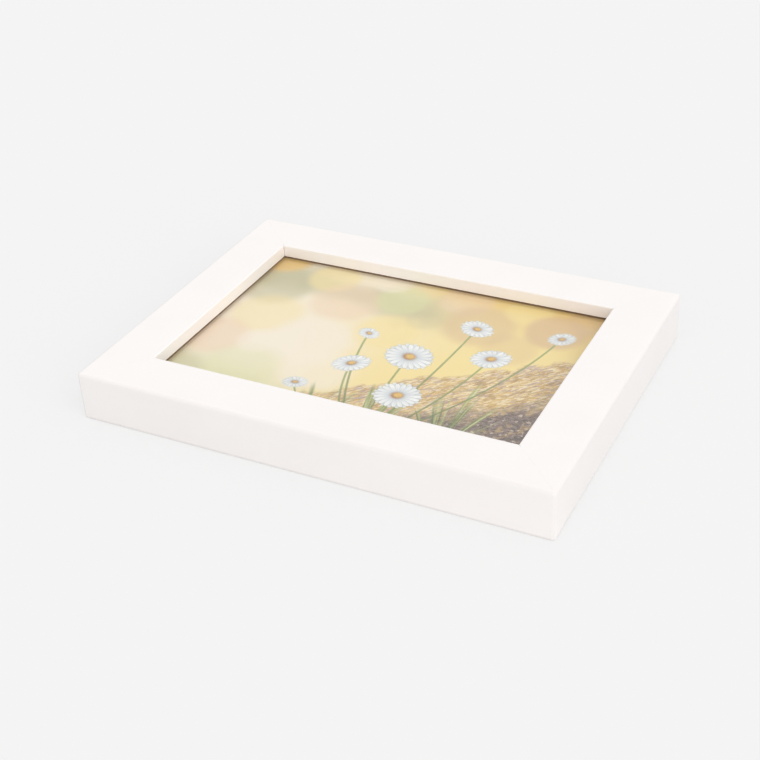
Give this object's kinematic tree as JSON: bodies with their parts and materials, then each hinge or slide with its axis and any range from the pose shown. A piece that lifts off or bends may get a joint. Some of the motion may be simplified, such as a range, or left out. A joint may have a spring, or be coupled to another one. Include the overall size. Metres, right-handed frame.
{
  "type": "hanging photo frame",
  "caption": "White flat-faced photo frame with mitred rails, a glazed print, a back board held by swivel tabs, and ring hangers for hanging it wide or tall.",
  "frame": {"origin": "centre of the wall face, which is the plane that the frame lies on", "axes": "+X along the long side to the right as the print is seen, +Y up the print, +Z out of its front; the frame lies on its back"},
  "size_m": [0.154, 0.114, 0.016],
  "materials": {
    "rail_lacquer": "satin",
    "nail_steel": "satin",
    "clear_glass": "polished",
    "photo_paper": "satin",
    "grey_card": "matte",
    "fibre_board": "matte",
    "zinc_steel": "satin",
    "nickel_wire": "polished",
    "rivet_steel": "satin"
  },
  "bodies": {
    "frame": {"rail_top": "rail_lacquer", "rail_bottom": "rail_lacquer", "rail_left": "rail_lacquer", "rail_right": "rail_lacquer", "corner_nails_top_left": "nail_steel", "corner_nails_top_right": "nail_steel", "corner_nails_bottom_left": "nail_steel", "corner_nails_bottom_right": "nail_steel", "glass_pane": "clear_glass", "printed_sheet": "photo_paper", "backing_card": "grey_card", "back_board": "fibre_board", "tab_rivet_top_left": "rivet_steel", "tab_rivet_top_right": "rivet_steel", "tab_rivet_bottom_left": "rivet_steel", "tab_rivet_bottom_right": "rivet_steel", "hanger_strap_landscape": "zinc_steel", "hanger_strap_portrait": "zinc_steel", "hanger_rivet_landscape": "rivet_steel", "hanger_rivet_portrait": "rivet_steel"},
    "tab_top_left": {"swivel_tab_top_left": "zinc_steel"},
    "tab_top_right": {"swivel_tab_top_right": "zinc_steel"},
    "tab_bottom_left": {"swivel_tab_bottom_left": "zinc_steel"},
    "tab_bottom_right": {"swivel_tab_bottom_right": "zinc_steel"},
    "ring_landscape": {"hanger_ring_landscape": "nickel_wire"},
    "ring_portrait": {"hanger_ring_portrait": "nickel_wire"}
  },
  "joints": [
    {"name": "tab_top_left_turn", "type": "hinge", "parent": "frame", "child": "tab_top_left", "pos_m": [-0.04, 0.038, 0.0045], "axis": [0, 0, 1], "range_deg": [-120, 120]},
    {"name": "tab_top_right_turn", "type": "hinge", "parent": "frame", "child": "tab_top_right", "pos_m": [0.04, 0.038, 0.0045], "axis": [0, 0, 1], "range_deg": [-120, 120]},
    {"name": "tab_bottom_left_turn", "type": "hinge", "parent": "frame", "child": "tab_bottom_left", "pos_m": [-0.04, -0.038, 0.0045], "axis": [0, 0, 1], "range_deg": [-120, 120]},
    {"name": "tab_bottom_right_turn", "type": "hinge", "parent": "frame", "child": "tab_bottom_right", "pos_m": [0.04, -0.038, 0.0045], "axis": [0, 0, 1], "range_deg": [-120, 120]},
    {"name": "ring_landscape_swing", "type": "hinge", "parent": "frame", "child": "ring_landscape", "pos_m": [0, 0.026, 0.00322], "axis": [1, 0, 0], "range_deg": [-158, 16]},
    {"name": "ring_portrait_swing", "type": "hinge", "parent": "frame", "child": "ring_portrait", "pos_m": [0.046, 0, 0.00322], "axis": [0, -1, 0], "range_deg": [-158, 16]}
  ]
}
